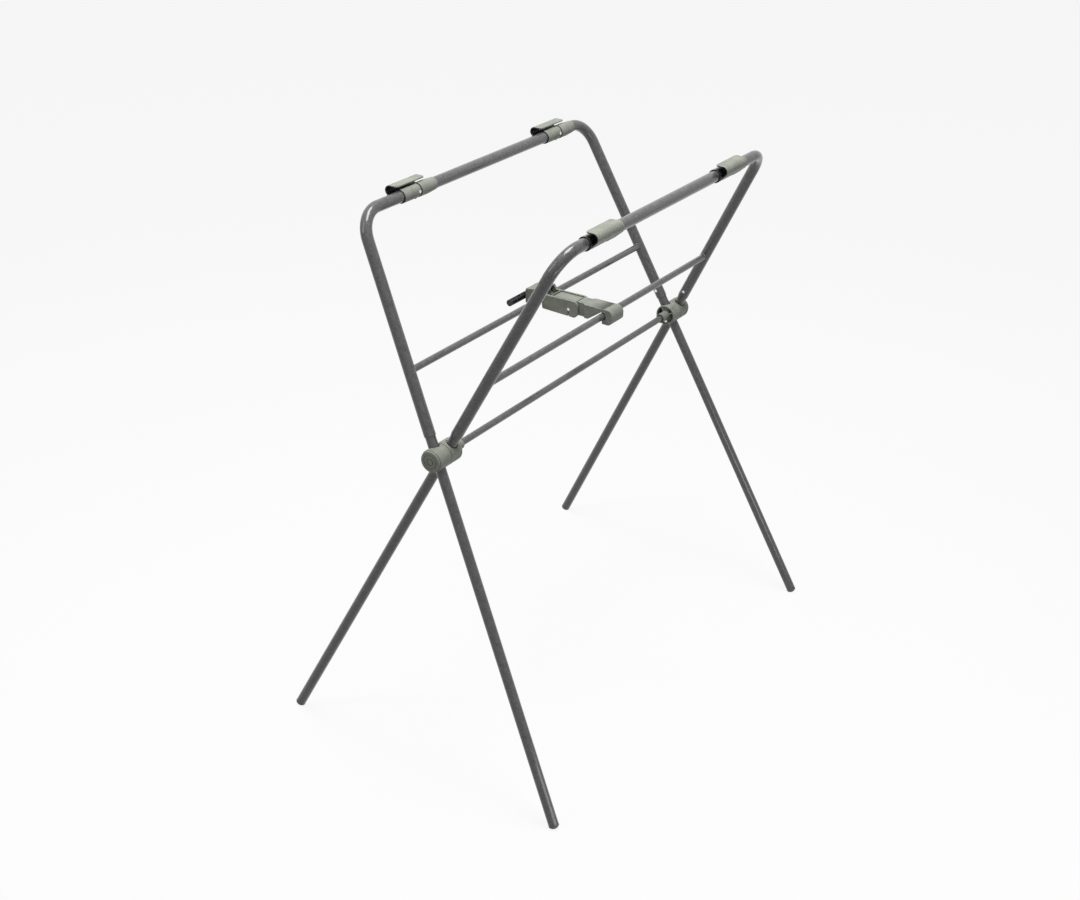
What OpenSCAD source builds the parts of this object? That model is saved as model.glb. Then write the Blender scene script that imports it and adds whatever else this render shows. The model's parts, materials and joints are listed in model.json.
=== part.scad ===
// Folding stand for a baby bath: two bent tube frames cross at a pair of hubs,
// four rail clips hold the bath and a folding brace locks the frames open.
// Millimetres. The floor is z = 0 and the hub axis crosses x = 0, y = 0.
// The rails run along Y; frame "b" leans towards +X and frame "a" is frame "b"
// turned half a turn about Z.

/* [Stance] */
// Height of the centre line of the top rails
rail_h = 940; // [900:2:980]
// Height of the hub axis
hub_h = 576; // [550:2:600]
// Lean of each frame from upright, in degrees
lean = 26.6; // [24:0.1:29]
// Splay of the legs within the plane of a frame, in degrees
splay = 6.3; // [4:0.1:8]
// Distance between the two legs of one frame, at the hub axis
hub_span = 764; // [720:2:800]

/* [Tubes] */
// Outer diameter of the bent upper tube
upper_d = 20; // [18:0.2:22]
// Wall of the upper tube, the lower legs and the hub rod
tube_wall = 1; // [0.8:0.1:1.2]
// Gap all round between a lower leg and the tube it plugs into
plug_fit = 0.1; // [0.05:0.01:0.2]
// Radius of the corner bends of the upper tube, on the centre line
bend_r = 50; // [42:1:64]
// Height above the hub where the upper tube ends and the lower leg shows
socket_h = 37; // [30:1:45]
// Length of lower leg that is plugged into the upper tube
plug_l = 54; // [40:1:70]
// Diameter of the welded crossbars
crossbar_d = 12; // [10:0.2:14]
// Wall of the crossbars
crossbar_wall = 1; // [0.8:0.1:1.5]
// Distance of a crossbar from the hub axis, in the plane of its frame
crossbar_h = 145.8; // [140:0.2:152]
// Diameter of the rod between the two hubs
rod_d = 12; // [10:0.2:14]

/* [Leg lock] */
// Height of a snap button above the hub
button_h = 53; // [46:1:60]
// Diameter of a snap button
button_d = 6; // [5:0.2:7]
// How far a button stands out of the tube
button_proud = 2; // [1.5:0.1:2.5]
// Gap all round a button in its holes
button_fit = 0.06; // [0.04:0.01:0.1]
// Thickness of the strip that the button springs are bent from
strip_t = 0.6; // [0.4:0.05:0.8]
// Width of that strip
strip_w = 6; // [5:0.2:7]
// Length of a button spring
spring_l = 34; // [28:1:40]

/* [Hubs] */
// Outer diameter of the moulded hub barrels
barrel_d = 40; // [36:0.5:44]
// Twice the distance from a leg to the inner face of its barrel
barrel_w = 26; // [26:0.5:30]
// Distance from a leg to the free face of its barrel
barrel_free = 16; // [14:0.5:18]
// Radius on the free rim of a barrel
barrel_edge = 1.6; // [1:0.1:2.5]
// Thickness of the washer between two barrels
washer_t = 1; // [0.6:0.1:1.6]
// Gap on each side of that washer
washer_gap = 0.02; // [0.01:0.01:0.05]
// Diameter of that washer
washer_d = 32; // [26:1:36]
// Gap all round between a lower leg and the bore of its barrel
sleeve_fit = 0.1; // [0.05:0.01:0.2]
// Gap all round a leg where it enters its barrel
entry_gap = 1.4; // [1:0.1:1.4]
// Depth of that gap
entry_depth = 4; // [2:0.5:5]
// Wall round the pockets of an inner barrel
pocket_rim = 3; // [2:0.1:4]
// Thickness of the ribs between those pockets
rib_t = 2.2; // [1.6:0.1:3]
// Depth of those pockets
pocket_depth = 17; // [10:0.5:20]
// Wall of the sleeve that holds the leg between the pockets
sleeve_wall = 2; // [1.5:0.1:3]
// Diameter of the collar that covers the end of the rod
collar_d = 18; // [17:0.2:22]
// Length of that collar beyond the barrel
collar_l = 20; // [14:0.5:26]
// Gap all round the rod in the mouth of the collar
mouth_gap = 1.2; // [0.6:0.1:1.4]
// Depth of that mouth
mouth_depth = 5; // [3:0.5:8]
// Radius of the scooped thumb flat on the side of a barrel
scoop_r = 45; // [34:1:54]
// Depth of that flat
scoop_depth = 1.6; // [0.8:0.1:1.8]
// Angle of that flat above the square of its leg, in degrees
scoop_turn = 16; // [8:1:22]
// Thickness of a hub cap
cap_t = 3.4; // [2.8:0.1:4]
// Depth of the cap's spigot in the barrel
spigot_h = 1.4; // [1:0.1:1.6]
// Width of the spigot ring
spigot_w = 1.5; // [1:0.1:2]
// Inner radius of the small ring turned in a cap
ring_small_r = 5; // [4:0.5:7]
// Inner radius of the large ring
ring_large_r = 11; // [10:0.5:13]
// Width of those rings
ring_w = 1.8; // [1:0.1:2.2]
// Depth of those rings
ring_depth = 0.8; // [0.4:0.1:1]

/* [Hub hardware] */
// Diameter of a pivot bolt
bolt_d = 6; // [5:0.2:7]
// Running gap all round a pivot bolt
bolt_fit = 0.08; // [0.05:0.01:0.1]
// Diameter of the low head of a pivot bolt
bolt_head_d = 13; // [11:0.2:15]
// Height of that head
bolt_head_h = 2.4; // [2:0.1:3]
// Length of the threaded plug pressed into each end of the rod
rod_plug_l = 24; // [18:1:30]
// Diameter of the screws that hold the barrels to the legs
barrel_screw_d = 3; // [2.5:0.1:3.5]
// Length of those screws below the head
barrel_screw_l = 9; // [7:0.5:10]

/* [Feet] */
// Radius of the domed end of a foot cap
foot_r = 10.5; // [9.6:0.1:12]
// How much of the dome is cut away to give a flat to stand on
foot_flat = 1.2; // [0.8:0.1:1.6]
// Height of the straight collar of a foot cap below the leg
foot_collar = 3; // [2:0.1:5]
// Length of the foot cap inside the leg
foot_stem = 18; // [12:1:26]

/* [Rail clips] */
// Length of a clip, from the open end of its lip to the far end of its sleeve
clip_l = 100; // [92:1:108]
// Length of the lip
lip_l = 76; // [66:1:80]
// Distance from the open end of the lip to the groove
clip_near_l = 53; // [46:1:58]
// Width of that groove
clip_groove = 2.2; // [1.5:0.1:3]
// Depth of that groove in the near sleeve
clip_groove_depth = 0.7; // [0.4:0.1:1]
// How far the sleeve starts behind the open end of the lip, on frame a
clip_lead_a = 10; // [4:0.5:14]
// How far the sleeve starts in front of the open end of the lip, on frame b
clip_lead_b = 2; // [0:0.5:4]
// Gap all round the rail in a clip
clip_fit = 0.15; // [0.1:0.01:0.3]
// Wall of the near sleeve
clip_near_wall = 1.85; // [1.7:0.05:2.4]
// How much thicker the far sleeve is
clip_far_extra = 0.5; // [0.3:0.1:1]
// Length of the taper at the far end
clip_taper_l = 22; // [14:1:26]
// Wall left at the thin end of the taper
clip_tip_wall = 0.8; // [0.7:0.1:1.2]
// Relief all round the rail at the open end
clip_relief = 1; // [0.6:0.1:1.1]
// Distance of the middle of the hook's bend from the centre of the rail, outwards
hook_out = 14; // [13:0.2:16]
// Height of the middle of that bend above the centre of the rail
hook_up = 10; // [9:0.2:11]
// Outer radius of the bend
hook_r = 9.2; // [8.6:0.1:10]
// Wall of the hook
hook_t = 2.2; // [1.8:0.1:2.6]
// How far the lip reaches inwards past the centre of the rail
lip_reach = 1; // [0:0.5:4]
// Corner radius of the lip at the open end
lip_corner = 7; // [4:0.5:9]
// Corner radius of the lip at the far end
lip_far_corner = 5; // [3:0.5:7]
// Length of the fairing that closes the slot behind the lip
fairing_l = 22; // [14:1:24]
// Height of the fairing above the centre of the rail
fairing_top = 2; // [1:0.5:5]
// Start of the near clip of frame a, measured inwards from the legs at the near hub
clip_a_near_in = 126; // [120:1:134]
// Start of the far clip of frame a, measured inwards from the legs at the far hub
clip_a_far_in = 209; // [202:1:216]
// Start of the near clip of frame b, measured the same way
clip_b_near_in = 125; // [118:1:132]
// Start of the far clip of frame b
clip_b_far_in = 217; // [210:1:224]
// Diameter of the clip screws
clip_screw_d = 3; // [2.5:0.1:3.5]
// Length of the clip screws below the head
clip_screw_l = 7; // [6:0.5:8]
// Distance of the clip screws from the groove
clip_screw_in = 4; // [3.5:0.1:6]

/* [Brace] */
// Width of the brace along the rails
brace_w = 38; // [34:0.5:44]
// Position along Y of the side of the brace that faces the viewer
brace_y = 0; // [-20:1:20]
// Height of the top of the brace above the crossbars
brace_top = 13.6; // [12:0.2:15]
// Distance from crossbar a to the knee pin
knee_reach = 60.7; // [56:0.1:66]
// Height of the crossbars above the knee pin
knee_drop = 3.1; // [2:0.1:4]
// Diameter of the knee pin
knee_pin_d = 5; // [4:0.1:6]
// Running gap all round the knee pin in the tongue
knee_fit = 0.08; // [0.05:0.01:0.1]
// Thickness of the cheeks of arm a
cheek_t = 4.5; // [3.5:0.1:5.5]
// Gap between the tongue of arm b and a cheek
tongue_gap = 0.4; // [0.3:0.05:0.8]
// Corner radius at the end of the cheeks
cheek_r = 9; // [6:0.5:10]
// Reach of the cheeks past the knee pin
cheek_over = 18.8; // [16:0.2:22]
// Depth of the cheeks below the crossbars, at the knee
cheek_drop = 16.4; // [15:0.2:18]
// Depth of the cheeks below the crossbars, at the hood
cheek_root_drop = 14; // [12.5:0.2:15]
// Width of the snap-in slot under the knee pin
pin_slot = 2; // [1.5:0.1:3]
// Thickness of the web between the cheeks
web_t = 2.5; // [2:0.1:3]
// How far the web lies below the top of the cheeks
web_sink = 1.5; // [1:0.1:2.5]
// Length of the web
web_l = 47; // [40:0.5:48]
// Reach of the web past the knee pin
web_over = 11.6; // [10:0.2:12]
// Width of the grooves between the web and the cheeks
web_groove = 1.6; // [1:0.1:2]
// Depth of those grooves in the web
web_groove_depth = 1.5; // [1:0.1:1.6]
// Gap between the web and the strip on the rim of the hood
web_gap = 3; // [1.5:0.1:3.5]
// Width of that strip
strip_rim = 2; // [1.5:0.1:3]
// Reach of the hood outwards past crossbar a
hood_out = 30; // [28:0.5:34]
// Reach of the hood inwards past crossbar a
hood_in = 8; // [7:0.5:10]
// Height of the hood above the brace top, on its inner side
hood_rise = 8.4; // [6:0.2:10]
// Height of the hood above the brace top, at its outer end
hood_end_rise = 2; // [1:0.2:3]
// Depth of the hood below the crossbars
hood_drop = 11; // [10:0.2:12.5]
// Shell thickness of the hood
hood_t = 2.6; // [2:0.1:3.2]
// Wall round crossbar a in the hood
hood_boss_wall = 2.6; // [2:0.1:3.5]
// Number of ribs in the hood
hood_ribs = 2; // [1:1:4]
// Gap all round crossbar a in arm a
arm_fit = 0.1; // [0.05:0.01:0.1]
// Width of the snap-in mouth below crossbar a
arm_mouth = 10; // [8:0.2:11]
// Gap all round crossbar b in the crook
crook_gap = 1.4; // [1.2:0.05:1.6]
// Slope of the upper wall of the crook's mouth
mouth_slope = 0.7; // [0.5:0.02:0.74]
// How far the tip of the crook ends short of the middle of crossbar b
tip_short = 0.5; // [0:0.1:1]
// Depth of the tip of the crook below crossbar b's centre
tip_drop = 14; // [13:0.2:16]
// Depth of the underside of arm b below crossbar b's centre
arm_b_drop = 11.6; // [10.5:0.1:13]
// Radius over the top of the crook
crook_r = 12; // [10:0.5:13]
// Radius under the end of the crook
heel_r = 10; // [8:0.5:11]
// Reach of the crook past the centre of crossbar b
crook_over = 20.7; // [19:0.1:23]
// Length of the full-width part of arm b before crossbar b
shoulder_l = 36.3; // [34:0.1:38]
// Gap between the end of the web and the neck of arm b
neck_gap = 3.6; // [2.4:0.1:4]
// Depth of that gap in arm b, below the underside of the web
neck_cut = 8; // [4:0.5:10]

/* [Trip handle] */
// Diameter of the ribbed handle
handle_d = 12; // [10:0.2:14]
// Distance of the handle from crossbar a
handle_out = 35.7; // [35:0.1:40]
// Length of the handle that stands free beside the arm
handle_l = 65; // [50:1:80]
// Length of the boss that holds the handle
boss_l = 16; // [12:0.5:20]
// Wall of that boss
boss_wall = 3; // [2:0.1:4]
// Gap all round the handle in its boss
handle_fit = 0.05; // [0.02:0.01:0.1]
// Thickness of the crossed ribs of the handle
handle_rib = 2.6; // [2:0.1:3.5]
// Number of discs along the free length
handle_discs = 5; // [3:1:8]
// Thickness of a disc
disc_t = 2.2; // [1.5:0.1:3]

/* [Hidden] */
$fn = 48;
eps = 0.01;
over = 1;

tube_grey = "#6a6a6a";
plastic_grey = "#8b8e84";
foot_grey = "#666667";
steel = "#b9bcc0";
black = "#26272a";

// Tubes
upper_r = upper_d / 2;
upper_bore_r = upper_r - tube_wall;
lower_r = upper_bore_r - plug_fit;
lower_bore_r = lower_r - tube_wall;
crossbar_r = crossbar_d / 2;
rod_r = rod_d / 2;
rod_bore_r = rod_r - tube_wall;
plug_top = socket_h + plug_l;

// Frame: heights are measured from the hub axis in the plane of the frame
frame_pitch = barrel_w + washer_t + 2 * washer_gap;
rail_s = (rail_h - hub_h) / cos(lean);
rail_x = (rail_h - hub_h) * tan(lean);
crossbar_x = crossbar_h * sin(lean);
crossbar_z = hub_h + crossbar_h * cos(lean);
bend_z = rail_s - bend_r;
bend_y = -hub_span / 2 + bend_z * tan(splay) + bend_r / cos(splay);
leg_straight = (bend_y + hub_span / 2) * sin(splay) + bend_z * cos(splay);
weld_gap = 0.05;
bend_lap = 0.4;
bend_swell = 0.05;

// Feet: distances along the leg, below the hub
foot_z = foot_r - foot_flat;
foot_s = (hub_h - foot_z) / cos(lean) / cos(splay);
dome_edge = sqrt(foot_r * foot_r - lower_r * lower_r);
leg_bottom = foot_s + dome_edge - foot_collar;

// Snap buttons
button_r = button_d / 2;
button_travel = button_proud + tube_wall;
flange_r = button_r + 0.9;
flange_t = 1;
flange_y = upper_bore_r - plug_fit - tube_wall - flange_t - 1.5;
stem_r = button_r / 2;
stem_end = -2;
strip_y = flange_y - button_travel - strip_t - 0.3;
strip_back_y = -sqrt(pow(lower_bore_r, 2) - pow(strip_w / 2, 2)) + 0.15;

// Hubs
barrel_r = barrel_d / 2;
barrel_l = barrel_w / 2 + barrel_free;
sleeve_bore_r = lower_r + sleeve_fit;
sleeve_r = sleeve_bore_r + sleeve_wall;
pocket_r = barrel_r - pocket_rim;
collar_r = collar_d / 2;
bolt_r = bolt_d / 2;
bolt_bore_r = bolt_r + bolt_fit;
head_clear = 0.3;
head_pocket = 1.6;
spigot_r = pocket_r - 0.2;
screw_x = 5.6;
screw_z = -12;
screw_seat = barrel_free - 4.4;
rod_end = hub_span / 2 - frame_pitch / 2 - barrel_free - collar_l + mouth_depth - 0.2;
rod_plug_fit = 0.02;

// Clips
clip_a_near = clip_a_near_in - hub_span / 2;
clip_a_far = hub_span / 2 - clip_a_far_in;
clip_b_near = clip_b_near_in - hub_span / 2;
clip_b_far = hub_span / 2 - clip_b_far_in;
clip_bore_r = upper_r + clip_fit;
clip_near_r = clip_bore_r + clip_near_wall;
clip_far_r = clip_near_r + clip_far_extra;
lip_top = hook_up + hook_r;
hook_far = sqrt(hook_out * hook_out + hook_up * hook_up);
hook_turn = atan2(hook_up, hook_out) - acos((clip_near_r - hook_r) / hook_far);
wall_dir = [cos(hook_turn), sin(hook_turn)];
wall_run = [cos(hook_turn + 90), sin(hook_turn + 90)];
clip_screw_angle = 175;
relief_l = 5;

// Brace, measured from the centre of crossbar a
bar_gap = 2 * crossbar_x;
arm_bore_r = crossbar_r + arm_fit;
knee_r = knee_pin_d / 2;
cheek_end = knee_reach + cheek_over;
web_end = knee_reach + web_over;
web_start = web_end - web_l;
web_top = brace_top - web_sink;
web_under = web_top - web_t;
tongue_r = web_under + knee_drop - 1.4;
neck_start = web_end + neck_gap;
shoulder_start = bar_gap - shoulder_l;
neck_side = cheek_t + tongue_gap;
seat_r = crossbar_r + crook_gap;
handle_r = handle_d / 2;

// ---- Placing ----

// Puts a piece drawn in the plane of frame b onto frame "a" or "b"
module in_frame(frame)
    rotate([0, 0, frame == "a" ? 180 : 0])
        translate([0, frame_pitch / 2, hub_h])
            rotate([0, lean, 0])
                children();

// On frame b the near leg has its barrel inside; on frame a the far one does
function is_inner(frame, side) = (frame == "b") == (side == "near");

// Turns a piece drawn upright about the hub axis onto one leg's side.
// The piece's +Y looks towards the middle of the stand.
module at_hub(frame, side)
    in_frame(frame)
        mirror([0, is_inner(frame, side) ? 0 : 1, 0])
            translate([0, -hub_span / 2, 0])
                children();

module on_leg(frame, side)
    at_hub(frame, side)
        rotate([-splay, 0, 0])
            children();

// Extrudes an outline drawn in X and Z along Y, from y0 to y1
module along_y(y0, y1)
    translate([0, y1, 0])
        rotate([90, 0, 0])
            linear_extrude(y1 - y0)
                children();

module rod_y(r, y0, y1)
    translate([0, y0, 0])
        rotate([-90, 0, 0])
            cylinder(r = r, h = y1 - y0);

// ---- Tube frames ----

// The straight lengths run a little way into the bends, which are a hair fuller
module bent_tube(r, swell, end_cut) {
    for (m = [0, 1])
        mirror([0, m, 0]) {
            translate([0, -hub_span / 2, 0])
                rotate([-splay, 0, 0])
                    translate([0, 0, socket_h - end_cut])
                        cylinder(r = r, h = leg_straight - socket_h + end_cut + bend_lap);
            translate([0, bend_y, bend_z])
                rotate(180, [1, 0, 1])
                    rotate_extrude(angle = 90 - splay)
                        translate([bend_r, 0])
                            circle(r = r + swell);
        }
    translate([0, 0, rail_s])
        rod_y(r, bend_y - bend_lap, -bend_y + bend_lap);
}

// The hole for a snap button through the inward wall of a leg
module button_hole()
    translate([0, 0, button_h])
        rod_y(button_r + button_fit, lower_bore_r - 2, upper_r + over);

module upper_frame(frame)
    color(tube_grey)
        difference() {
            in_frame(frame)
                difference() {
                    bent_tube(upper_r, bend_swell, 0);
                    bent_tube(upper_bore_r, -bend_swell, over);
                }
            for (side = ["near", "far"])
                on_leg(frame, side)
                    button_hole();
            clip_screws(frame, clip_fit);
        }

module crossbar(frame)
    color(tube_grey)
        in_frame(frame)
            difference() {
                translate([0, 0, crossbar_h])
                    rod_y(crossbar_r, -hub_span / 2, hub_span / 2);
                translate([0, 0, crossbar_h])
                    rod_y(crossbar_r - crossbar_wall, -hub_span / 2 - over, hub_span / 2 + over);
                for (m = [0, 1])
                    mirror([0, m, 0])
                        translate([0, -hub_span / 2, 0])
                            rotate([-splay, 0, 0]) {
                                translate([0, 0, crossbar_h - 2 * upper_d])
                                    cylinder(r = upper_r + weld_gap, h = 4 * upper_d);
                                translate([-upper_d, -2 * upper_d, crossbar_h - 2 * upper_d])
                                    cube([2 * upper_d, 2 * upper_d, 4 * upper_d]);
                            }
            }

module lower_leg(frame, side)
    color(tube_grey)
        difference() {
            on_leg(frame, side)
                difference() {
                    translate([0, 0, -leg_bottom])
                        cylinder(r = lower_r, h = leg_bottom + plug_top);
                    translate([0, 0, -leg_bottom - over])
                        cylinder(r = lower_bore_r, h = leg_bottom + plug_top + 2 * over);
                    button_hole();
                }
            at_hub(frame, side) {
                rod_y(bolt_bore_r, -upper_d, upper_d);
                barrel_screw(side_sign(frame, side), bolt_fit);
            }
        }

module foot_cap(frame, side)
    color(foot_grey)
        difference() {
            on_leg(frame, side) {
                translate([0, 0, -leg_bottom - foot_collar])
                    cylinder(r = lower_r, h = foot_collar);
                intersection() {
                    translate([0, 0, -foot_s])
                        sphere(r = foot_r, $fn = 96);
                    translate([0, 0, -foot_s - foot_r])
                        cylinder(r = lower_r, h = foot_r - dome_edge + eps);
                }
                translate([0, 0, -leg_bottom - eps])
                    cylinder(r = lower_bore_r - plug_fit, h = foot_stem);
            }
            translate([-hub_h, -hub_span, -foot_r])
                cube([2 * hub_h, 2 * hub_span, foot_r]);
        }

// ---- Snap buttons ----

module snap_button(frame, side)
    color(steel)
        on_leg(frame, side)
            translate([0, 0, button_h]) {
                intersection() {
                    rod_y(button_r, flange_y, upper_r + button_proud);
                    translate([0, upper_r + button_proud - button_d, 0])
                        sphere(r = button_d, $fn = 64);
                }
                rod_y(flange_r, flange_y, flange_y + flange_t);
                rod_y(stem_r, stem_end, flange_y + eps);
            }

// A strip bent into a U inside the leg: one arm bears on the far wall, the
// other guides the stem of the button
module button_spring(frame, side)
    color(steel)
        on_leg(frame, side)
            translate([0, 0, button_h])
                difference() {
                    union() {
                        translate([-strip_w / 2, strip_y, -spring_l + strip_w])
                            cube([strip_w, strip_t, spring_l]);
                        translate([-strip_w / 2, strip_back_y, -spring_l + strip_w])
                            cube([strip_w, strip_t, spring_l]);
                        spring_bend();
                    }
                    rod_y(stem_r + button_fit, strip_y - over, strip_y + strip_t + over);
                }

module spring_bend() {
    outer = (strip_y + strip_t - strip_back_y) / 2;
    translate([0, strip_back_y + outer, -spring_l + strip_w])
        difference() {
            rotate([0, 90, 0])
                cylinder(r = outer, h = strip_w, center = true);
            rotate([0, 90, 0])
                cylinder(r = outer - strip_t, h = strip_w + over, center = true);
            translate([-strip_w, -outer - over, 0])
                cube([2 * strip_w, 2 * outer + 2 * over, outer + over]);
        }
}

// ---- Hubs ----

// +1 where the free face of the barrel looks towards the middle
function side_sign(frame, side) = is_inner(frame, side) ? 1 : -1;

// A disc along the hub axis with one rounded rim, its free face at +Y
module barrel_blank()
    translate([0, -barrel_w / 2, 0])
        rotate([-90, 0, 0])
            rotate_extrude() {
                square([barrel_r - barrel_edge, barrel_l]);
                square([barrel_r, barrel_l - barrel_edge]);
                translate([barrel_r - barrel_edge, barrel_l - barrel_edge])
                    intersection() {
                        circle(r = barrel_edge, $fn = 32);
                        square(barrel_edge);
                    }
            }

module leg_sleeve(r)
    rotate([-splay, 0, 0])
        translate([0, 0, -barrel_d])
            cylinder(r = r, h = 2 * barrel_d);

// The wider mouths where the leg comes out of its barrel
module leg_entries()
    rotate([-splay, 0, 0])
        for (m = [0, 1])
            mirror([0, 0, m])
                translate([0, 0, barrel_r - entry_depth])
                    cylinder(r = sleeve_bore_r + entry_gap, h = barrel_r);

// The oval flat on the +X side, where a thumb pushes
module thumb_scoop()
    rotate([0, -scoop_turn, 0])
        translate([barrel_r + scoop_r - scoop_depth, 0, 0])
            sphere(r = scoop_r, $fn = 96);

// One quarter of the pockets and what stays standing inside them
module pockets()
    difference() {
        rod_y(pocket_r, barrel_free - pocket_depth, barrel_free + over);
        rod_y(collar_r, -barrel_w, barrel_w);
        intersection() {
            leg_sleeve(sleeve_r);
            rod_y(barrel_r, -barrel_w / 2, barrel_free);
        }
        translate([-rib_t / 2, -barrel_w, -barrel_r])
            cube([rib_t, 2 * barrel_w, barrel_d]);
        translate([-barrel_r, -barrel_w, -rib_t / 2])
            cube([barrel_d, 2 * barrel_w, rib_t]);
        screw_boss();
    }

module screw_boss()
    translate([screw_x, 0, screw_z])
        rod_y(barrel_screw_d, 0, screw_seat);

module hub_barrel(frame, side) {
    inner = is_inner(frame, side);
    color(plastic_grey)
        at_hub(frame, side)
            difference() {
                union() {
                    mirror([0, inner ? 0 : 1, 0])
                        barrel_blank();
                    if (inner)
                        rod_y(collar_r, 0, barrel_free + collar_l);
                }
                leg_sleeve(sleeve_bore_r);
                leg_entries();
                thumb_scoop();
                rod_y(bolt_bore_r, -barrel_w, barrel_w + collar_l);
                barrel_screw(side_sign(frame, side), bolt_fit);
                if (inner) {
                    pockets();
                    rod_y(rod_r + mouth_gap, barrel_free + collar_l - mouth_depth, barrel_w + collar_l);
                }
                if (!inner) {
                    rod_y(bolt_head_d / 2 + head_clear, -barrel_w, -barrel_free + head_pocket);
                    difference() {
                        rod_y(pocket_r, -barrel_w, -barrel_free + spigot_h + head_clear);
                        rod_y(spigot_r - spigot_w - 0.2, -barrel_w - over, 0);
                    }
                }
            }
}

// The screw that holds a barrel to its leg, driven from the free face
module barrel_screw(sign, extra)
    mirror([0, sign > 0 ? 0 : 1, 0])
        translate([screw_x, 0, sign * screw_z]) {
            rod_y(barrel_screw_d / 2 + extra, screw_seat - barrel_screw_l, screw_seat + eps);
            rod_y(barrel_screw_d - 0.2 + extra, screw_seat, sign > 0 || extra == 0 ? screw_seat + 1.4 : barrel_w);
        }

module barrel_screws(frame)
    color(steel)
        for (side = ["near", "far"])
            at_hub(frame, side)
                difference() {
                    barrel_screw(side_sign(frame, side), 0);
                    mirror([0, is_inner(frame, side) ? 0 : 1, 0])
                        translate([screw_x, 0, side_sign(frame, side) * screw_z])
                            for (turn = [0, 90])
                                rotate([0, turn, 0])
                                    translate([-1.6, screw_seat + 0.6, -0.35])
                                        cube([3.2, 2, 0.7]);
                }

module hub_washer(side)
    color(black)
        rotate([0, 0, side == "near" ? 0 : 180])
            translate([0, -hub_span / 2, hub_h])
                difference() {
                    rod_y(washer_d / 2, -washer_t / 2, washer_t / 2);
                    rod_y(bolt_bore_r, -washer_t, washer_t);
                }

// The cap on the free face of an outer barrel, with plain turned rings
module hub_cap(side) {
    frame = side == "near" ? "a" : "b";
    rim = 1.2;
    color(plastic_grey)
        at_hub(frame, side)
            translate([0, -barrel_free, 0])
                rotate([90, 0, 0])
                    difference() {
                        union() {
                            rotate_extrude() {
                                square([barrel_r - barrel_edge - rim, cap_t]);
                                square([barrel_r - barrel_edge, cap_t - rim]);
                                translate([barrel_r - barrel_edge - rim, cap_t - rim])
                                    intersection() {
                                        circle(r = rim, $fn = 32);
                                        square(rim);
                                    }
                            }
                            translate([0, 0, -spigot_h])
                                difference() {
                                    cylinder(r = spigot_r, h = spigot_h + eps);
                                    translate([0, 0, -over])
                                        cylinder(r = spigot_r - spigot_w, h = spigot_h + 2 * over);
                                }
                        }
                        translate([0, 0, -eps])
                            cylinder(r = bolt_head_d / 2 + head_clear, h = bolt_head_h - head_pocket + head_clear);
                        for (ring = [ring_small_r, ring_large_r])
                            translate([0, 0, cap_t - ring_depth])
                                difference() {
                                    cylinder(r = ring + ring_w, h = ring_depth + over);
                                    translate([0, 0, -over])
                                        cylinder(r = ring, h = 3 * over);
                                }
                    }
}

module hub_side(side)
    rotate([0, 0, side == "near" ? 0 : 180])
        translate([0, -hub_span / 2, hub_h])
            children();

module pivot_bolt(side) {
    head_y = -frame_pitch / 2 - barrel_free + head_pocket;
    tip_y = hub_span / 2 - rod_end + rod_plug_l - 4;
    color(steel)
        hub_side(side)
            difference() {
                union() {
                    rod_y(bolt_head_d / 2, head_y - bolt_head_h, head_y);
                    rod_y(bolt_r, head_y - eps, tip_y);
                }
                translate([0, head_y - bolt_head_h - over, 0])
                    rotate([-90, 0, 0])
                        cylinder(r = 2.3, h = 1.6 + over, $fn = 6);
            }
}

module hub_rod()
    color(tube_grey)
        translate([0, 0, hub_h])
            difference() {
                rod_y(rod_r, -rod_end, rod_end);
                rod_y(rod_bore_r, -rod_end - over, rod_end + over);
            }

module rod_plug(side)
    color(steel)
        hub_side(side)
            translate([0, hub_span / 2 - rod_end, 0])
                difference() {
                    rod_y(rod_bore_r - rod_plug_fit, 0, rod_plug_l);
                    rod_y(bolt_r + rod_plug_fit, -over, rod_plug_l + over);
                }

// ---- Rail clips ----

// Section of the hook with its hollow filled. X is outwards and Y is up; the
// outer wall is tangent to the bend and to the sleeve.
module hook_solid(shrink) {
    sink = shrink + 0.1;
    translate([hook_out, hook_up])
        circle(r = hook_r - shrink, $fn = 64);
    polygon([
        [-lip_reach - shrink, lip_top - shrink],
        [hook_out, lip_top - shrink],
        [hook_out, hook_up],
        [hook_out, hook_up] + (hook_r - sink) * wall_dir,
        (clip_near_r - sink) * wall_dir - wall_run,
        [-lip_reach - shrink, shrink > 0 ? -clip_near_r / 2 : 0]
    ]);
}

module hook_outline()
    difference() {
        intersection() {
            hook_solid(0);
            union() {
                translate([-lip_reach, lip_top - hook_t])
                    square([hook_out + lip_reach, hook_t]);
                polygon([
                    [0, 0],
                    2 * clip_near_r * [cos(hook_turn + 2), sin(hook_turn + 2)],
                    [hook_out, hook_up] + 2 * hook_r * wall_dir,
                    [hook_out + 2 * hook_r, lip_top + over],
                    [hook_out, lip_top + over],
                    [hook_out, 0]
                ]);
            }
        }
        hook_solid(hook_t);
    }

// Plan of the lip: the inner corners are rounded
module lip_plan() {
    translate([-lip_reach + lip_corner, 0])
        square([hook_out + hook_r, lip_l]);
    translate([-lip_reach, lip_corner])
        square([lip_corner + eps, lip_l - lip_corner - lip_far_corner]);
    translate([-lip_reach + lip_corner, lip_corner])
        circle(r = lip_corner, $fn = 64);
    translate([-lip_reach + lip_far_corner, lip_l - lip_far_corner])
        circle(r = lip_far_corner, $fn = 32);
}

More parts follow.
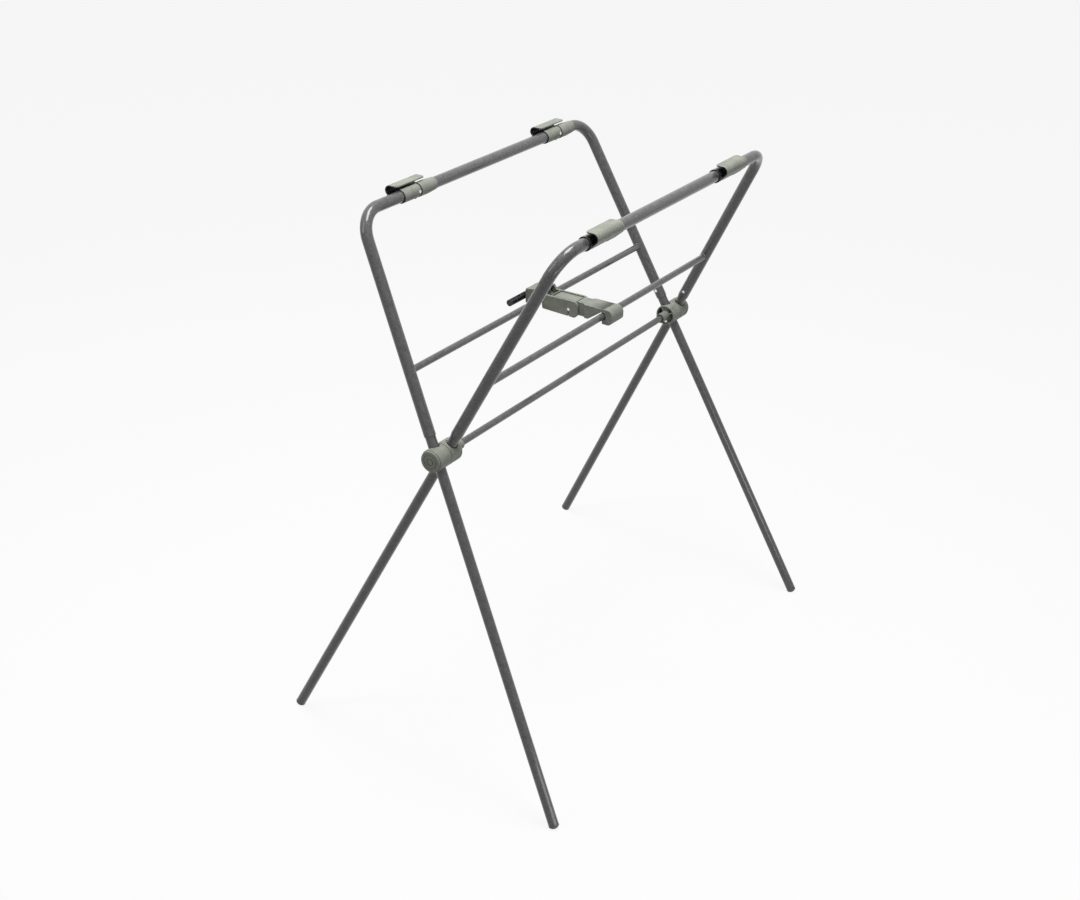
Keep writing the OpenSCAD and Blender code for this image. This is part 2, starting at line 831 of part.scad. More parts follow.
// Drawn along +Y from the open end of the lip, with +X outwards
module clip_body(start) {
    taper_y = clip_l - clip_taper_l;
    difference() {
        union() {
            rod_y(clip_near_r, start, clip_near_l);
            rod_y(clip_near_r - clip_groove_depth, start, taper_y);
            rod_y(clip_far_r, clip_near_l + clip_groove, taper_y);
            translate([0, taper_y, 0])
                rotate([-90, 0, 0])
                    cylinder(r1 = clip_far_r, r2 = clip_bore_r + clip_tip_wall, h = clip_taper_l);
            difference() {
                along_y(0, lip_l)
                    hook_outline();
                translate([0, 0, lip_top - hook_t - over])
                    linear_extrude(hook_t + 2 * over)
                        difference() {
                            translate([-lip_reach - over, -over])
                                square([lip_corner + lip_reach + over, lip_l + 2 * over]);
                            lip_plan();
                        }
            }
            hull() {
                along_y(lip_l - over, lip_l)
                    fairing_section(clip_near_r)
                        hook_solid(0);
                along_y(lip_l + fairing_l - over, lip_l + fairing_l)
                    fairing_section(clip_near_r)
                        circle(r = clip_bore_r + clip_tip_wall - 0.1, $fn = 32);
            }
        }
        rod_y(clip_bore_r, start - over, clip_l + over);
        rod_y(clip_bore_r, -over, clip_l + over);
        rod_y(upper_r + clip_relief, start - over, start + relief_l);
    }
}

module fairing_section(low)
    intersection() {
        children();
        translate([0, -low])
            square([2 * hook_out + hook_r, low + fairing_top]);
    }

module on_rail(frame, start)
    mirror([frame == "a" ? 1 : 0, 0, 0])
        translate([rail_x, start, rail_h])
            children();

// The screw beside the groove, on the inner side
module clip_screw(extra)
    translate([0, clip_near_l - clip_screw_in, 0])
        rotate([0, -clip_screw_angle, 0])
            rotate([0, 90, 0]) {
                translate([0, 0, clip_near_r - clip_screw_l])
                    cylinder(r = clip_screw_d / 2 + extra, h = clip_screw_l);
                translate([0, 0, clip_near_r - 0.8])
                    cylinder(r = clip_screw_d - 0.4 + extra, h = extra > 0 ? 3 : 1.3);
            }

module clip_screws(frame, extra)
    for (start = frame == "a" ? [clip_a_near, clip_a_far] : [clip_b_near, clip_b_far])
        on_rail(frame, start)
            clip_screw(extra);

module rail_clip(frame, start)
    color(plastic_grey)
        on_rail(frame, start)
            difference() {
                clip_body(frame == "a" ? clip_lead_a : -clip_lead_b);
                clip_screw(0.05);
            }

// ---- Brace ----

// Drawn from the centre of crossbar a, across the stand
module on_brace()
    translate([-crossbar_x, brace_y, crossbar_z])
        children();

module cheek_outline() {
    low = -cheek_drop;
    polygon([
        [hood_in - 2, brace_top],
        [cheek_end - cheek_r, brace_top],
        [cheek_end - cheek_r, low],
        [hood_in - 2, -cheek_root_drop]
    ]);
    translate([cheek_end - cheek_r - eps, low + cheek_r])
        square([cheek_r + eps, brace_top - low - 2 * cheek_r]);
    for (z = [low + cheek_r, brace_top - cheek_r])
        translate([cheek_end - cheek_r, z])
            circle(r = cheek_r);
}

module hood_outline()
    polygon([
        [-hood_out, -hood_drop],
        [hood_in - 2, -hood_drop],
        [hood_in - 2, -cheek_root_drop],
        [hood_in + 6, -cheek_root_drop],
        [hood_in + 6, brace_top],
        [hood_in, brace_top + hood_rise],
        [-hood_out, brace_top + hood_end_rise]
    ]);

// The hollow under the hood's roof
module hood_hollow() {
    boss_r = arm_bore_r + hood_boss_wall;
    slope = (hood_rise - hood_end_rise) / (hood_in + hood_out);
    left = -hood_out + hood_t;
    polygon([
        [left, boss_r - 3],
        [hood_in + 7, boss_r - 3],
        [hood_in + 7, brace_top + hood_rise - hood_t],
        [hood_in, brace_top + hood_rise - hood_t],
        [left, brace_top + hood_rise - hood_t - slope * (hood_in - left)]
    ]);
}

module brace_arm_a() {
    inner_w = brace_w - 2 * cheek_t;
    rib_pitch = inner_w / (hood_ribs + 1);
    boss_r = arm_bore_r + hood_boss_wall;
    color(plastic_grey)
        on_brace()
            difference() {
                union() {
                    for (y = [0, brace_w - cheek_t])
                        along_y(y, y + cheek_t) {
                            cheek_outline();
                            hood_outline();
                        }
                    difference() {
                        along_y(cheek_t - eps, brace_w - cheek_t + eps)
                            intersection() {
                                hood_outline();
                                translate([-hood_out, -hood_drop])
                                    square([hood_out + hood_in, hood_drop + brace_top + hood_rise]);
                            }
                        for (i = [0 : hood_ribs])
                            along_y(cheek_t + i * rib_pitch + (i > 0 ? hood_t / 2 : 0),
                                    cheek_t + (i + 1) * rib_pitch - (i < hood_ribs ? hood_t / 2 : 0))
                                difference() {
                                    hood_hollow();
                                    circle(r = boss_r);
                                }
                    }
                    along_y(cheek_t - eps, brace_w - cheek_t + eps) {
                        translate([web_start, web_under])
                            square([web_l, web_t]);
                        translate([web_start - web_gap - strip_rim, web_under])
                            square([strip_rim, web_t + web_sink / 2]);
                    }
                    translate([-handle_out, 0, 0])
                        handle_boss();
                }
                for (y = [cheek_t, brace_w - cheek_t - web_groove])
                    translate([web_start - over, y, web_top - web_groove_depth])
                        cube([web_l + 2 * over, web_groove, web_groove_depth + over]);
                rod_y(arm_bore_r, -over, brace_w + over);
                translate([-arm_mouth / 2, -over, -hood_drop - over])
                    cube([arm_mouth, brace_w + 2 * over, hood_drop + over]);
                translate([-handle_out, 0, 0])
                    rod_y(handle_r + handle_fit, -handle_l, brace_w + over);
                translate([knee_reach, 0, -knee_drop]) {
                    rod_y(knee_r + knee_fit / 2, -over, brace_w + over);
                    translate([-pin_slot / 2, -over, -cheek_drop])
                        cube([pin_slot, brace_w + 2 * over, cheek_drop]);
                }
                // The notch in the top of the hood's outer end
                translate([-hood_out - over, 7, brace_top + hood_end_rise - 2.4])
                    cube([hood_t + 2 * over, 18, 4]);
            }
}

module handle_boss()
    difference() {
        union() {
            rod_y(handle_r + boss_wall, brace_w - boss_l, brace_w);
            translate([0, brace_w - boss_l, -handle_r - boss_wall])
                cube([handle_out - hood_out + eps, boss_l, 2 * (handle_r + boss_wall)]);
        }
        translate([handle_out - hood_out + eps, -over, -handle_d])
            cube([handle_d, brace_w + 2 * over, 2 * handle_d]);
    }

// Outline of arm b across the stand, drawn from the centre of crossbar a
module arm_b_outline() {
    low = -arm_b_drop;
    difference() {
        union() {
            translate([knee_reach, -knee_drop])
                circle(r = tongue_r);
            translate([knee_reach, low])
                square([bar_gap - knee_reach, -low + web_under - tongue_gap]);
            translate([neck_start, low])
                square([bar_gap - neck_start, -low + brace_top]);
            translate([bar_gap - tip_short, -tip_drop])
                square([crook_over - heel_r + tip_short, tip_drop + brace_top - crook_r]);
            translate([bar_gap, -tip_drop + heel_r])
                square([crook_over, tip_drop + brace_top - crook_r - heel_r]);
            translate([bar_gap, -tip_drop + heel_r])
                square([crook_over - crook_r, tip_drop + brace_top - heel_r]);
            translate([bar_gap + crook_over - crook_r, brace_top - crook_r])
                circle(r = crook_r);
            translate([bar_gap + crook_over - heel_r, -tip_drop + heel_r])
                circle(r = heel_r);
        }
        translate([bar_gap, 0]) {
            circle(r = seat_r);
            crook_mouth();
        }
        translate([web_end - over, web_under - tongue_gap - neck_cut])
            square([neck_gap + over, neck_cut + web_t]);
    }
}

// The open mouth below and left of crossbar b, drawn from its centre
module crook_mouth() {
    wall = 90 + atan(mouth_slope);
    touch = (seat_r - 0.05) * [cos(wall), sin(wall)];
    reach = (touch[1] + tip_drop + over) / mouth_slope;
    polygon([
        touch,
        [touch[0] - reach, -tip_drop - over],
        [-tip_short, -tip_drop - over],
        [-tip_short, 0],
        [0, 0]
    ]);
}

// Plan of arm b: the neck flares out to the full width
module arm_b_plan() {
    flare = shoulder_start - neck_side;
    polygon([
        [knee_reach - tongue_r - over, neck_side],
        [flare, neck_side],
        [shoulder_start, 0],
        [bar_gap + crook_over + over, 0],
        [bar_gap + crook_over + over, brace_w],
        [shoulder_start, brace_w],
        [flare, brace_w - neck_side],
        [knee_reach - tongue_r - over, brace_w - neck_side]
    ]);
}

module brace_arm_b()
    color(plastic_grey)
        on_brace()
            difference() {
                intersection() {
                    along_y(0, brace_w)
                        arm_b_outline();
                    translate([0, 0, -2 * tip_drop])
                        linear_extrude(4 * tip_drop)
                            arm_b_plan();
                }
                translate([knee_reach, 0, -knee_drop])
                    rod_y(knee_r + knee_fit, -over, brace_w + over);
            }

module knee_pin()
    color(steel)
        on_brace()
            translate([knee_reach, 0, -knee_drop])
                rod_y(knee_r, 0.2, brace_w - 0.2);

// A ribbed rod: crossed ribs between discs, and a plain end in the boss
module trip_handle() {
    free = handle_l;
    boss_start = brace_w - boss_l;
    start = boss_start - free;
    pitch = (free - disc_t) / (handle_discs - 1);
    color(black)
        on_brace()
            translate([-handle_out, 0, 0]) {
                intersection() {
                    rod_y(handle_r, start, boss_start + eps);
                    for (turn = [45, 135])
                        rotate([0, turn, 0])
                            translate([-handle_r, start, -handle_rib / 2])
                                cube([handle_d, free + eps, handle_rib]);
                }
                for (i = [0 : handle_discs - 1])
                    rod_y(handle_r, start + i * pitch, start + i * pitch + disc_t);
                rod_y(handle_r, boss_start, brace_w + 0.8);
            }
}

// ---- Assembly ----

upper_frame("a");  // upper_frame_a
upper_frame("b");  // upper_frame_b
crossbar("a");  // crossbar_a
crossbar("b");  // crossbar_b
lower_leg("a", "near");  // lower_leg_a_near
lower_leg("a", "far");  // lower_leg_a_far
lower_leg("b", "near");  // lower_leg_b_near
lower_leg("b", "far");  // lower_leg_b_far
foot_cap("a", "near");  // foot_cap_a_near
foot_cap("a", "far");  // foot_cap_a_far
foot_cap("b", "near");  // foot_cap_b_near
foot_cap("b", "far");  // foot_cap_b_far
snap_button("a", "near");  // snap_button_a_near
snap_button("a", "far");  // snap_button_a_far
snap_button("b", "near");  // snap_button_b_near
snap_button("b", "far");  // snap_button_b_far
button_spring("a", "near");  // button_spring_a_near
button_spring("a", "far");  // button_spring_a_far
button_spring("b", "near");  // button_spring_b_near
button_spring("b", "far");  // button_spring_b_far
hub_barrel("a", "near");  // hub_barrel_a_near
hub_barrel("a", "far");  // hub_barrel_a_far
hub_barrel("b", "near");  // hub_barrel_b_near
hub_barrel("b", "far");  // hub_barrel_b_far
hub_cap("near");  // hub_cap_near
hub_cap("far");  // hub_cap_far
hub_washer("near");  // hub_washer_near
hub_washer("far");  // hub_washer_far
pivot_bolt("near");  // pivot_bolt_near
pivot_bolt("far");  // pivot_bolt_far
rod_plug("near");  // rod_plug_near
rod_plug("far");  // rod_plug_far
hub_rod();
barrel_screws("a");  // barrel_screws_a
barrel_screws("b");  // barrel_screws_b
rail_clip("a", clip_a_near);  // rail_clip_a_near
rail_clip("a", clip_a_far);  // rail_clip_a_far
rail_clip("b", clip_b_near);  // rail_clip_b_near
rail_clip("b", clip_b_far);  // rail_clip_b_far
color(steel) clip_screws("a", 0);  // clip_screws_a
color(steel) clip_screws("b", 0);  // clip_screws_b
brace_arm_a();
brace_arm_b();
knee_pin();
trip_handle();
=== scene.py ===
import json
import math

import bmesh
import bpy
from mathutils import Matrix, Vector


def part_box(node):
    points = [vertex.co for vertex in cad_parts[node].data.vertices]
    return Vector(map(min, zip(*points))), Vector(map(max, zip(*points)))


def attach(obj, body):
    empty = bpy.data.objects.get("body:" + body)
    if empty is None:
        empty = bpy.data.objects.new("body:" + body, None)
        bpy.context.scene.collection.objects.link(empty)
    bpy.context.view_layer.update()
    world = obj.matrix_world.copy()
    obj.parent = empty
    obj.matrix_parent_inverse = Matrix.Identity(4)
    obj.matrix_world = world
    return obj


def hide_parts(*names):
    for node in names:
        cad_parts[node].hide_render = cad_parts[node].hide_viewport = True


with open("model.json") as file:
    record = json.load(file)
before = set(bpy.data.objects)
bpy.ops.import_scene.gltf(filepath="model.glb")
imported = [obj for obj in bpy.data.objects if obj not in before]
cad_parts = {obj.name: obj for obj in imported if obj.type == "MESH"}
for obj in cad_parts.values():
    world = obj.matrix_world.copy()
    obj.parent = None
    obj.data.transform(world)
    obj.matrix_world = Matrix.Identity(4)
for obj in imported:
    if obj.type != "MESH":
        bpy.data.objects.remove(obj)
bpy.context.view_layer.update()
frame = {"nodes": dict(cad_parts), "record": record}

# Folding stand for a baby bath. Metres, in the same frame as the solids: the
# floor is z = 0, the rails run along Y and the hub axis crosses x = 0, y = 0.

BODIES = frame["record"]["behaviour"]["bodies"]
MM = 0.001

# Sizes of the solids that the weld beads follow
HUB_HEIGHT = 576 * MM
HUB_SPAN = 764 * MM
FRAME_PITCH = 27.04 * MM
LEAN = math.radians(26.6)
SPLAY = math.radians(6.3)
SLANT = Vector((math.sin(LEAN), 0, math.cos(LEAN)))
TUBE_R = 10 * MM
CROSSBAR_R = 6 * MM
CROSSBAR_RISE = 145.8 * MM

# The weld beads: thickness, points round the bar, and how the puddles swell
BEAD_R = 1.3 * MM
BEAD_POINTS = 72
BEAD_PUDDLES = 11
BEAD_SWELL = 0.05

# The rail clips across the stand: the rail, the middle of the hook's hollow
# from there, the sleeve, and the radius past which a face belongs to the hook
RAIL_OUT = 182.28 * MM
RAIL_HEIGHT = 940 * MM
HOOK_HOLLOW = Vector((7 * MM, 14 * MM))
SLEEVE_R = 12 * MM
HOOK_R = SLEEVE_R + 0.8 * MM

# The rail clips along the rail: how far the sleeve starts behind the lip, and
# the groove. HAIR is the slack for a face that lies on one of these sizes.
SLEEVE_LEAD = {"a": 10 * MM, "b": -2 * MM}
GROOVE_AT = 53 * MM
GROOVE_W = 2.2 * MM
HAIR = 0.3 * MM

# Cosines that tell which way a clip face looks
FACES_HOLLOW = 0.3
FACES_RAIL = -0.5
FACES_MOUTH = -0.9

# Copies of the solids: points closer than MERGE are one, faces that bend less
# than FLAT are one, and a bend past CREASE is a corner. A corner is broken only
# where both faces are ROOM times as wide as the broken edge.
MERGE = 0.004 * MM
FLAT = math.radians(0.4)
CREASE = math.radians(34)
ROOM = 1.3
BROKEN_EDGES_MM = {
    "hub_barrel": 0.3,
    "hub_cap": 0.3,
    "rail_clip": 0.5,
    "brace_arm": 0.8,
    "foot_cap": 0.5,
    "trip_handle": 0.4,
    "hub_washer": 0.25,
    "upper_frame": 0.25,
    "lower_leg": 0.2,
}

# Where the photograph was taken from
CAMERA_AT = (1.41340, -2.28011, 1.79007)
CAMERA_AZIMUTH = math.radians(122.8068)
CAMERA_DIP = math.radians(26.9894)
CAMERA_ROLL = math.radians(1.2093)
FOCAL_PIXELS = 1635.34
PHOTO_WIDTH = 1080
HALF_A_PIXEL = 0.5 / PHOTO_WIDTH

# The studio: half the side of the paper, how much of the paper is its own
# light, and the strength of the room's light where it isn't seen
PAPER_REACH = 40
PAPER_GLOW = 0.9
ROOM_LIGHT = 0.16


# ---- Nodes and colours ----

def linear(code):
    """The linear colour of an sRGB hex code such as "#8a8d83"."""
    values = [int(code[i:i + 2], 16) / 255 for i in (1, 3, 5)]
    flat = [v / 12.92 if v <= 0.04045 else ((v + 0.055) / 1.055) ** 2.4 for v in values]
    return (*flat, 1.0)


def add(tree, kind, values=None, links=None, **settings):
    """Adds a node with its settings, its input values and its links."""
    node = tree.nodes.new(kind)
    for name, value in settings.items():
        setattr(node, name, value)
    for name, value in (values or {}).items():
        node.inputs[name].default_value = value
    for name, source in (links or {}).items():
        tree.links.new(source, node.inputs[name])
    return node


def blank(name):
    """A new material with its shader and the piece's own coordinates."""
    material = bpy.data.materials.new(name)
    material.use_nodes = True
    tree = material.node_tree
    shader = tree.nodes["Principled BSDF"]
    place = add(tree, "ShaderNodeTexCoord").outputs["Object"]
    return material, tree, shader, place


def noise(tree, place, blotch_mm, **values):
    """Noise whose blotches are about this many millimetres wide."""
    values = {name.title(): value for name, value in values.items()}
    values["Scale"] = 1 / (blotch_mm * MM)
    return add(tree, "ShaderNodeTexNoise", values, {"Vector": place}).outputs["Fac"]


def blend(tree, broad, fine, fine_share):
    """A broad and a fine noise in one."""
    rest = add(tree, "ShaderNodeMath", {1: 1 - fine_share}, {0: broad}, operation="MULTIPLY")
    both = add(tree, "ShaderNodeMath", {1: fine_share}, {0: fine, 2: rest.outputs[0]},
               operation="MULTIPLY_ADD")
    return both.outputs[0]


def remap(tree, value, **limits):
    """A value brought from one range to another; both are 0 to 1 unless given."""
    limits = {name.replace("_", " ").title(): limit for name, limit in limits.items()}
    return add(tree, "ShaderNodeMapRange", limits, {"Value": value}).outputs["Result"]


def paint(tree, shader, dark, light, share):
    """Gives a shader a colour between two tones."""
    tone = add(tree, "ShaderNodeMix", {"A": linear(dark), "B": linear(light)},
               {"Factor": share}, data_type="RGBA")
    tree.links.new(tone.outputs["Result"], shader.inputs["Base Color"])


def roughen(tree, shader, height, strength, depth):
    """Gives a shader small bumps."""
    bump = add(tree, "ShaderNodeBump", {"Strength": strength, "Distance": depth},
               {"Height": height})
    tree.links.new(bump.outputs["Normal"], shader.inputs["Normal"])


def seen(tree):
    """1 for what the camera or the gloss on the stand sees, 0 for other light."""
    path = add(tree, "ShaderNodeLightPath")
    either = add(tree, "ShaderNodeMath", None,
                 {0: path.outputs["Is Camera Ray"], 1: path.outputs["Is Glossy Ray"]},
                 operation="MAXIMUM")
    return either.outputs[0]


# ---- Materials ----

def stove_lacquer():
    """Dark grey lacquer baked on steel tube: a satin colour coat under a thin
    glossy one, with the faint orange peel and cloudiness that spraying leaves.
    Real orange peel is 1 to 2 mm across; it is drawn at 3 mm so that it shows."""
    material, tree, shader, place = blank("stove_lacquer_dark_grey")
    cloud = noise(tree, place, 7, detail=4, roughness=0.6)
    fleck = noise(tree, place, 2, detail=2)
    both = blend(tree, cloud, fleck, fine_share=0.5)
    share = remap(tree, both, from_min=0.3, from_max=0.7)
    paint(tree, shader, "#39393a", "#6a6a6b", share)
    sheen = remap(tree, cloud, to_min=0.3, to_max=0.42)
    tree.links.new(sheen, shader.inputs["Roughness"])
    peel = noise(tree, place, 3, detail=1)
    roughen(tree, shader, peel, strength=0.05, depth=0.03 * MM)
    shader.inputs["IOR"].default_value = 1.5
    shader.inputs["Specular IOR Level"].default_value = 0.2
    shader.inputs["Coat Weight"].default_value = 0.75
    shader.inputs["Coat Roughness"].default_value = 0.06
    return material


def moulded_plastic(name, dark, light, roughness):
    """Plastic from a spark-eroded mould: a fine matt grain that breaks up the
    light, and slight clouds where the melt flowed.
    Real grain is about 0.2 mm; it is drawn at 0.7 mm so that it shows."""
    material, tree, shader, place = blank(name)
    flow = noise(tree, place, 22, detail=3, distortion=0.6)
    grain = noise(tree, place, 0.7, detail=2, roughness=0.6)
    both = blend(tree, flow, grain, fine_share=0.45)
    share = remap(tree, both, from_min=0.35, from_max=0.65)
    paint(tree, shader, dark, light, share)
    roughen(tree, shader, grain, strength=0.5, depth=0.06 * MM)
    shader.inputs["Roughness"].default_value = roughness
    shader.inputs["IOR"].default_value = 1.49
    return material


def zinc_plated_steel():
    """Bright zinc plate on small turned and stamped steel: a clean pale metal
    with fine tool marks. They are drawn 0.5 mm apart so that they show."""
    material, tree, shader, place = blank("zinc_plated_steel")
    marks = noise(tree, place, 0.5, detail=2)
    paint(tree, shader, "#d2d4d6", "#ececed", marks)
    sheen = remap(tree, marks, to_min=0.28, to_max=0.42)
    tree.links.new(sheen, shader.inputs["Roughness"])
    shader.inputs["Metallic"].default_value = 1.0
    return material


def paper_sweep():
    """White studio paper. The camera and the gloss on the stand see it nearly
    white, with the shadow kept. It throws only a little light back up."""
    material = bpy.data.materials.new("white_paper_sweep")
    material.use_nodes = True
    tree = material.node_tree
    tree.nodes.clear()
    look = seen(tree)
    tone = add(tree, "ShaderNodeMix", {"A": linear("#9c9c9c"), "B": linear("#fafafa")},
               {"Factor": look}, data_type="RGBA")
    paper = add(tree, "ShaderNodeBsdfDiffuse", None, {"Color": tone.outputs["Result"]})
    glow = add(tree, "ShaderNodeEmission", {"Color": (1, 1, 1, 1), "Strength": 1.0})
    share = add(tree, "ShaderNodeMath", {1: PAPER_GLOW}, {0: look}, operation="MULTIPLY")
    mixed = add(tree, "ShaderNodeMixShader", None,
                {0: share.outputs[0], 1: paper.outputs[0], 2: glow.outputs[0]})
    add(tree, "ShaderNodeOutputMaterial", None, {"Surface": mixed.outputs[0]})
    return material


# ---- Pieces ----

def body_of(node):
    return next(body for body, nodes in BODIES.items() if node in nodes)


def finish_piece(piece, node, material):
    """Puts a new piece in the scene, on the body of its solid."""
    bpy.context.collection.objects.link(piece)
    piece.data.materials.append(material)
    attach(piece, body_of(node))


def dressed(node, material, edge_mm):
    """A merged copy in place of a solid, with smooth shading and broken edges.
    An edge_mm of 0 keeps every corner sharp."""
    mesh = bpy.data.meshes.new(node + "_skin")
    bm = bmesh.new()
    bm.from_mesh(frame["nodes"][node].data)
    bmesh.ops.remove_doubles(bm, verts=bm.verts, dist=MERGE)
    bmesh.ops.dissolve_limit(bm, angle_limit=FLAT, verts=bm.verts, edges=bm.edges)
    wide = {face for face in bm.faces
            if 2 * face.calc_area() > ROOM * edge_mm * MM * face.calc_perimeter()}
    corner = bm.edges.layers.float.new("bevel_weight_edge")
    for edge in bm.edges:
        edge.smooth = edge.calc_face_angle(0) < CREASE
        edge[corner] = float(not edge.smooth and wide.issuperset(edge.link_faces))
    for face in bm.faces:
        face.smooth = True
    bm.to_mesh(mesh)
    bm.free()
    piece = bpy.data.objects.new(node + "_skin", mesh)
    finish_piece(piece, node, material)
    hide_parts(node)
    if edge_mm:
        bevel = piece.modifiers.new("broken_edges", "BEVEL")
        bevel.width = edge_mm * MM
        bevel.segments = 2
        bevel.limit_method = "WEIGHT"
        bevel.use_clamp_overlap = False
    flats = piece.modifiers.new("flat_faces_stay_flat", "WEIGHTED_NORMAL")
    flats.keep_sharp = True
    return piece


def paint_clip_shade(piece, node, painted_shade):
    """Paints shade on a rail clip: black on the faces inside the hook, round the
    mouth of the sleeve and in the groove, where shade falls."""
    piece.data.materials.append(painted_shade)
    lead = SLEEVE_LEAD[node.split("_")[2]]
    mouth = min(corner[1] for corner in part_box(node)) + max(lead, 0)
    lip = mouth - lead
    groove = lip + GROOVE_AT
    for face in piece.data.polygons:
        # Seen along the rail, with the outside of the stand to the right
        side = math.copysign(1, face.center.x)
        at = Vector((side * face.center.x - RAIL_OUT, face.center.z - RAIL_HEIGHT))
        facing = Vector((side * face.normal.x, face.normal.z))
        inwards = HOOK_HOLLOW - at
        along = face.center.y
        hook = at.length > HOOK_R
        skin = at.length > SLEEVE_R - HAIR
        to_mouth = face.normal.y < FACES_MOUTH
        in_hook = hook and facing.dot(inwards) > FACES_HOLLOW * inwards.length
        on_sleeve = not hook and skin and at.x > 0 and at.y > 0 and along < groove
        hook_end = hook and to_mouth and along < lip + HAIR
        in_mouth = at.length < SLEEVE_R + HAIR and (
            to_mouth and along < mouth + HAIR or facing.dot(at) < FACES_RAIL * at.length)
        in_groove = (at.length < SLEEVE_R + 2 * HAIR
                     and groove - HAIR < along < groove + GROOVE_W + HAIR)
        # Painted shade: these faces in the clip's hollows are made black
        if in_hook or on_sleeve or hook_end or in_mouth or in_groove:
            face.material_index = 1


def weld_bead(frame_name, side):
    """The fillet weld round one end of a crossbar, where it meets its leg. It
    is drawn on frame b, where side is -1 for the near leg and +1 for the far
    one, and turned half round for frame a."""
    leg = (SLANT * math.cos(SPLAY) + Vector((0, -side * math.sin(SPLAY), 0))).normalized()
    joint = Vector((0, FRAME_PITCH / 2, HUB_HEIGHT)) + SLANT * CROSSBAR_RISE
    joint.y += side * (HUB_SPAN / 2 - CROSSBAR_RISE * math.tan(SPLAY))
    curve = bpy.data.curves.new("weld_bead", "CURVE")
    curve.dimensions = "3D"
    curve.bevel_depth = BEAD_R
    curve.bevel_resolution = 3
    spline = curve.splines.new("POLY")
    spline.points.add(BEAD_POINTS - 1)
    spline.use_cyclic_u = True
    for i in range(BEAD_POINTS):
        turn = math.tau * i / BEAD_POINTS
        swell = 1 + BEAD_SWELL * math.sin(BEAD_PUDDLES * turn)
        offset = Vector((math.cos(turn), 0, math.sin(turn))) * CROSSBAR_R * swell
        # Along Y from the leg's axis to its skin, at this height
        flat = offset - leg * offset.dot(leg)
        along = Vector((0, 1, 0)) - leg * leg.y
        a = along.dot(along)
        b = 2 * flat.dot(along)
        c = flat.dot(flat) - TUBE_R ** 2
        reach = (-b - side * math.sqrt(b * b - 4 * a * c)) / (2 * a)
        point = joint + offset + Vector((0, reach, 0))
        spline.points[i].co = (*point, 1)
    bead = bpy.data.objects.new("weld_bead", curve)
    bpy.context.collection.objects.link(bead)
    mesh = bpy.data.meshes.new_from_object(bead)
    bpy.data.objects.remove(bead)
    if frame_name == "a":
        mesh.transform(Matrix.Rotation(math.pi, 4, "Z"))
    for polygon in mesh.polygons:
        polygon.use_smooth = True
    end = "near" if (side < 0) == (frame_name == "b") else "far"
    return bpy.data.objects.new("weld_bead_{}_{}".format(frame_name, end), mesh)


def dress_the_stand():
    lacquer = stove_lacquer()
    # Black plastic of the trip handle; the same black is also painted shade inside the rail
    # clips
    black = moulded_plastic("moulded_nylon_black_and_painted_shade", "#161618", "#232326", roughness=0.45)
    finishes = {
        "grey_lacquer": lacquer,
        "green_grey_plastic": moulded_plastic(
            "moulded_polypropylene_green_grey", "#777a71", "#94978c", roughness=0.5),
        "bright_steel": zinc_plated_steel(),
        "dark_grey_plastic": moulded_plastic(
            "moulded_polypropylene_dark_grey", "#555556", "#6b6b6c", roughness=0.42),
        "black_plastic": black,
    }
    for part in frame["record"]["subparts"]:
        node = part["node"]
        slot = part["material_slot"]
        edge_mm = next(
            (size for start, size in BROKEN_EDGES_MM.items() if node.startswith(start)), 0)
        piece = dressed(node, finishes[slot], edge_mm)
        # Painted shade: black on the hollows of each rail clip
        if node.startswith("rail_clip"):
            paint_clip_shade(piece, node, black)
    for frame_name in ("a", "b"):
        for side in (-1, 1):
            bead = weld_bead(frame_name, side)
            finish_piece(bead, "crossbar_" + frame_name, lacquer)


# ---- Studio ----

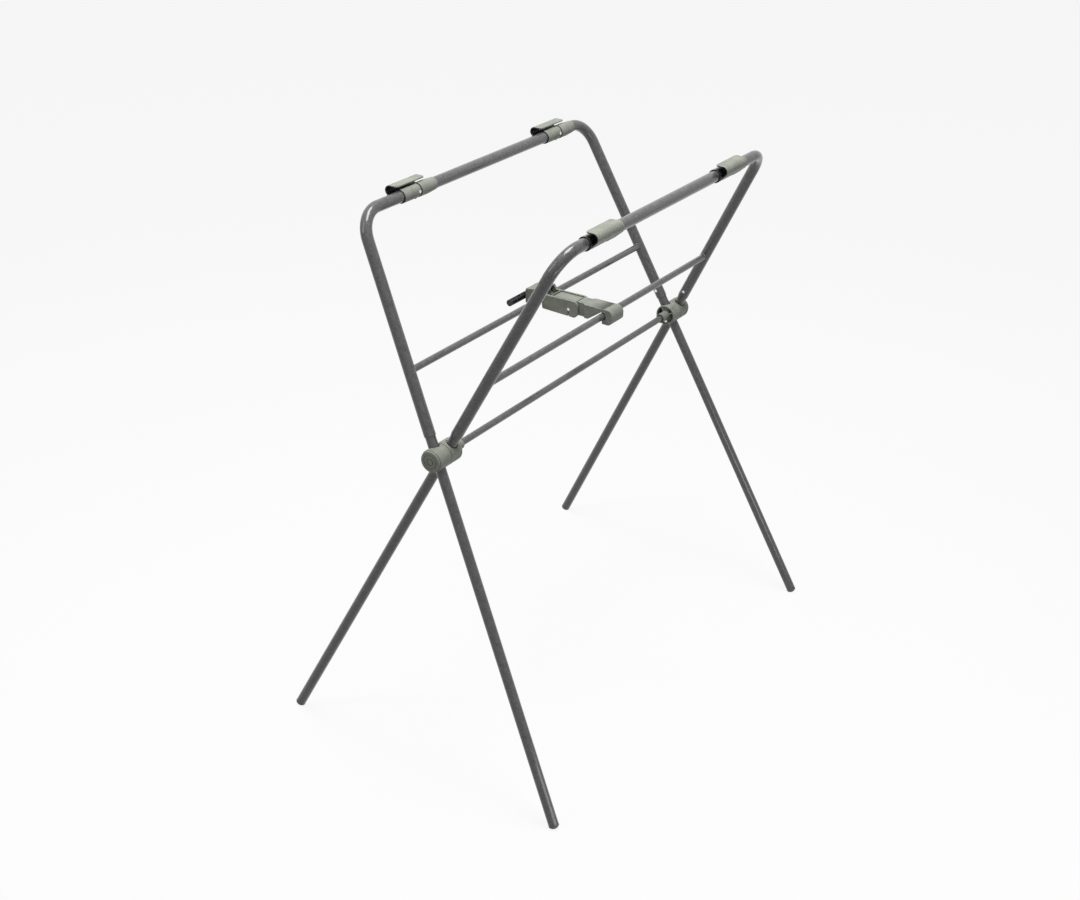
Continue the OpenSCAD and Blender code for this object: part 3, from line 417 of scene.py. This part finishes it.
def photo_camera():
    """The camera that took the photograph: a long lens from above the near corner."""
    ahead = Vector((math.cos(CAMERA_AZIMUTH) * math.cos(CAMERA_DIP),
                    math.sin(CAMERA_AZIMUTH) * math.cos(CAMERA_DIP),
                    -math.sin(CAMERA_DIP)))
    level = Vector((math.sin(CAMERA_AZIMUTH), -math.cos(CAMERA_AZIMUTH), 0))
    above = level.cross(ahead)
    right = math.cos(CAMERA_ROLL) * level + math.sin(CAMERA_ROLL) * above
    up = right.cross(ahead)
    lens = bpy.data.cameras.new("photo_camera")
    lens.sensor_fit = "HORIZONTAL"
    lens.sensor_width = 36
    lens.lens = lens.sensor_width * FOCAL_PIXELS / PHOTO_WIDTH
    lens.shift_x = -HALF_A_PIXEL
    lens.shift_y = HALF_A_PIXEL
    camera = bpy.data.objects.new("photo_camera", lens)
    turn = Matrix((right, up, -ahead)).transposed().to_4x4()
    camera.matrix_world = Matrix.Translation(CAMERA_AT) @ turn
    bpy.context.collection.objects.link(camera)
    bpy.context.scene.camera = camera


def soft_light(name, at, towards, width, height, watts):
    lamp = bpy.data.lights.new(name, "AREA")
    lamp.shape = "RECTANGLE"
    lamp.size = width
    lamp.size_y = height
    lamp.energy = watts
    light = bpy.data.objects.new(name, lamp)
    light.location = at
    light.rotation_euler = (Vector(towards) - Vector(at)).to_track_quat("-Z", "Y").to_euler()
    bpy.context.collection.objects.link(light)


def studio():
    """White paper under an overhead softbox, with a low fill and a narrow strip."""
    bm = bmesh.new()
    bmesh.ops.create_grid(bm, x_segments=1, y_segments=1, size=PAPER_REACH)
    mesh = bpy.data.meshes.new("paper_floor")
    bm.to_mesh(mesh)
    bm.free()
    floor = bpy.data.objects.new("paper_floor", mesh)
    mesh.materials.append(paper_sweep())
    bpy.context.collection.objects.link(floor)
    world = bpy.data.worlds.new("white_studio")
    bpy.context.scene.world = world
    world.use_nodes = True
    tree = world.node_tree
    tree.nodes.clear()
    strength = remap(tree, seen(tree), to_min=ROOM_LIGHT, to_max=1.0)
    sky = add(tree, "ShaderNodeBackground", {"Color": (1, 1, 1, 1)}, {"Strength": strength})
    add(tree, "ShaderNodeOutputWorld", None, {"Surface": sky.outputs[0]})
    soft_light("overhead_softbox", at=(0.1, -0.1, 2.7), towards=(0, 0, 0.5),
               width=0.9, height=1.2, watts=47)
    soft_light("low_fill", at=(1.6, -0.5, 0.2), towards=(-0.15, 0, 0.2),
               width=1.2, height=0.3, watts=4)
    soft_light("left_strip", at=(-1.2, -2.0, 2.4), towards=(0, 0, 0.7),
               width=0.25, height=1.6, watts=14)
    bpy.context.scene.view_settings.view_transform = "Standard"


photo_camera()
studio()
dress_the_stand()

bpy.context.view_layer.update()
